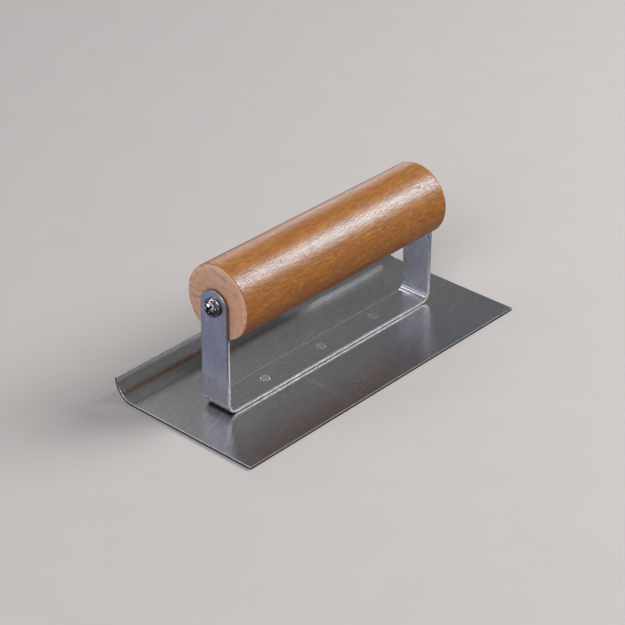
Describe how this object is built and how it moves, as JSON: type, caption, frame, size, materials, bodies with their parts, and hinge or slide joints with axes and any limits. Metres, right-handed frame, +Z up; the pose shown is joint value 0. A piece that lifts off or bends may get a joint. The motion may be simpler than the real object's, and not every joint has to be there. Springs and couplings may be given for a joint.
{
  "type": "inside step trowel",
  "caption": "Inside step trowel: flat steel blade with one long edge curled up into a cove, a U strap riveted along it and a turned wooden handle held by end screws.",
  "frame": {"origin": "centre of the blade's flat underside, which is the bottom centre of the bounding box", "axes": "+X along the blade and the handle, +Y across the blade towards the curled lip, +Z up from the blade to the handle"},
  "size_m": [0.1524, 0.0698, 0.0616],
  "materials": {
    "blade_steel": "rolled sheet with fine brushing, light scratches and worn bright edges",
    "strap_steel": "brushed along the strap, bright at the edges",
    "varnished_wood": "orange-brown hardwood under gloss varnish, paler bare end grain",
    "screw_steel": "bright plated",
    "rivet_steel": "ground flush with the strap"
  },
  "bodies": {
    "root": {"blade": "blade_steel", "handle_bracket": "strap_steel", "wood_handle": "varnished_wood", "handle_screw_1": "screw_steel", "handle_screw_2": "screw_steel", "blade_rivet_1": "rivet_steel", "blade_rivet_2": "rivet_steel", "blade_rivet_3": "rivet_steel"}
  },
  "joints": []
}
